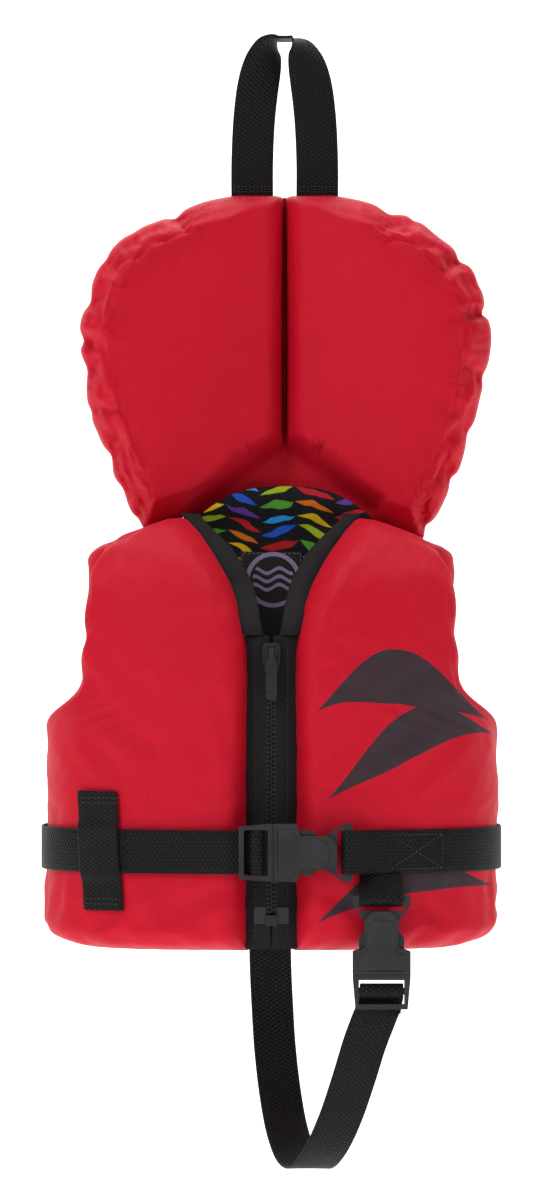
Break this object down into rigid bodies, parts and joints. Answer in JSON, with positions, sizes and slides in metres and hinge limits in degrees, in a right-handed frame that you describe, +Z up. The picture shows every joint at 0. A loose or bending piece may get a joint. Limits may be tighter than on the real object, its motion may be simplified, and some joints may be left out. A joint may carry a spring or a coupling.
{
  "type": "infant life jacket",
  "caption": "Infant life jacket with a zipped foam vest, padded head-support collar, grab loop, belted waist and crotch strap, both closed by side-release buckles.",
  "frame": {"origin": "on the wearer's centre line between the front and back linings, level with the tops of the shoulders", "axes": "+Z up to the head, -Y to the wearer's front where the zip is, +X to the wearer's left"},
  "size_m": [0.2745, 0.1782, 0.6794],
  "materials": {
    "shell_cloth": "fine woven red nylon, slight sheen",
    "foam": "closed-cell foam",
    "printed_lining": "black cloth printed with coloured stripes",
    "black_cloth": "black woven tape",
    "label_cloth": "printed label cloth",
    "webbing": "black ribbed webbing",
    "zip_plastic": "black moulded plastic",
    "buckle_plastic": "black moulded acetal, satin"
  },
  "bodies": {
    "root": {"front_shell_right": "shell_cloth", "front_shell_left": "shell_cloth", "back_shell": "shell_cloth", "shoulder_right": "shell_cloth", "shoulder_left": "shell_cloth", "front_foam_outer_right": "foam", "front_foam_inner_right": "foam", "front_foam_outer_left": "foam", "front_foam_inner_left": "foam", "back_foam_outer": "foam", "back_foam_inner": "foam", "front_lining_right": "printed_lining", "front_lining_left": "printed_lining", "back_lining": "printed_lining", "neck_facing_right": "black_cloth", "neck_facing_left": "black_cloth", "zip_tape_right": "black_cloth", "zip_tape_left": "black_cloth", "inner_label": "label_cloth", "waist_belt": "webbing", "waist_belt_front": "webbing", "belt_keeper": "webbing", "crotch_tab": "webbing", "crotch_strap": "webbing", "zip_chain_right": "zip_plastic", "zip_chain_left": "zip_plastic", "zip_box": "zip_plastic", "waist_buckle_socket": "buckle_plastic", "crotch_buckle_socket": "buckle_plastic"},
    "zip_slider": {"zip_slider": "zip_plastic"},
    "zip_puller": {"zip_puller": "zip_plastic"},
    "waist_plug": {"waist_buckle_plug": "buckle_plastic"},
    "waist_latch_upper": {"waist_latch_upper": "buckle_plastic"},
    "waist_latch_lower": {"waist_latch_lower": "buckle_plastic"},
    "crotch_plug": {"crotch_buckle_plug": "buckle_plastic"},
    "crotch_latch_right": {"crotch_latch_right": "buckle_plastic"},
    "crotch_latch_left": {"crotch_latch_left": "buckle_plastic"},
    "collar": {"collar_cover_right": "shell_cloth", "collar_cover_left": "shell_cloth", "collar_back_right": "shell_cloth", "collar_back_left": "shell_cloth", "collar_foam_front_right": "foam", "collar_foam_back_right": "foam", "collar_foam_front_left": "foam", "collar_foam_back_left": "foam"},
    "grab_loop": {"grab_loop": "webbing"}
  },
  "joints": [
    {"name": "zip_slide", "type": "slide", "parent": "root", "child": "zip_slider", "axis": [0, 0, -1], "range_m": [0, 0.135]},
    {"name": "puller_flip", "type": "hinge", "parent": "zip_slider", "child": "zip_puller", "pos_m": [0, -0.07, -0.071], "axis": [1, 0, 0], "range_deg": [-140, 0]},
    {"name": "waist_buckle_release", "type": "slide", "parent": "root", "child": "waist_plug", "axis": [-1, 0, 0], "range_m": [0, 0.027], "deforming": ["waist_belt_front"]},
    {"name": "waist_latch_upper_press", "type": "hinge", "parent": "waist_plug", "child": "waist_latch_upper", "pos_m": [0.0048, -0.0905, -0.1778], "axis": [0, 1, 0], "range_deg": [0, 8], "stiffness_Nm_per_rad": 0.15},
    {"name": "waist_latch_lower_press", "type": "hinge", "parent": "waist_plug", "child": "waist_latch_lower", "pos_m": [0.0048, -0.0905, -0.1982], "axis": [0, 1, 0], "range_deg": [-8, 0], "stiffness_Nm_per_rad": 0.15},
    {"name": "crotch_buckle_release", "type": "slide", "parent": "root", "child": "crotch_plug", "axis": [0, 0, -1], "range_m": [0, 0.027], "deforming": ["crotch_strap"]},
    {"name": "crotch_latch_right_press", "type": "hinge", "parent": "crotch_plug", "child": "crotch_latch_right", "pos_m": [0.0538, -0.088, -0.2552], "axis": [0, 1, 0], "range_deg": [0, 8], "stiffness_Nm_per_rad": 0.15},
    {"name": "crotch_latch_left_press", "type": "hinge", "parent": "crotch_plug", "child": "crotch_latch_left", "pos_m": [0.0742, -0.088, -0.2552], "axis": [0, 1, 0], "range_deg": [-8, 0], "stiffness_Nm_per_rad": 0.15},
    {"name": "collar_fold", "type": "hinge", "parent": "root", "child": "collar", "pos_m": [0, 0.064, 0.0105], "axis": [1, 0, 0], "range_deg": [-90, 0]},
    {"name": "grab_loop_swing", "type": "hinge", "parent": "collar", "child": "grab_loop", "pos_m": [0.008, 0.048, 0.2053], "axis": [1, 0, 0], "range_deg": [-60, 60], "stiffness_Nm_per_rad": 0.02}
  ],
  "couplings": [
    {"joint": "waist_latch_lower_press", "follows": "waist_latch_upper_press", "ratio": -1},
    {"joint": "crotch_latch_left_press", "follows": "crotch_latch_right_press", "ratio": -1}
  ]
}
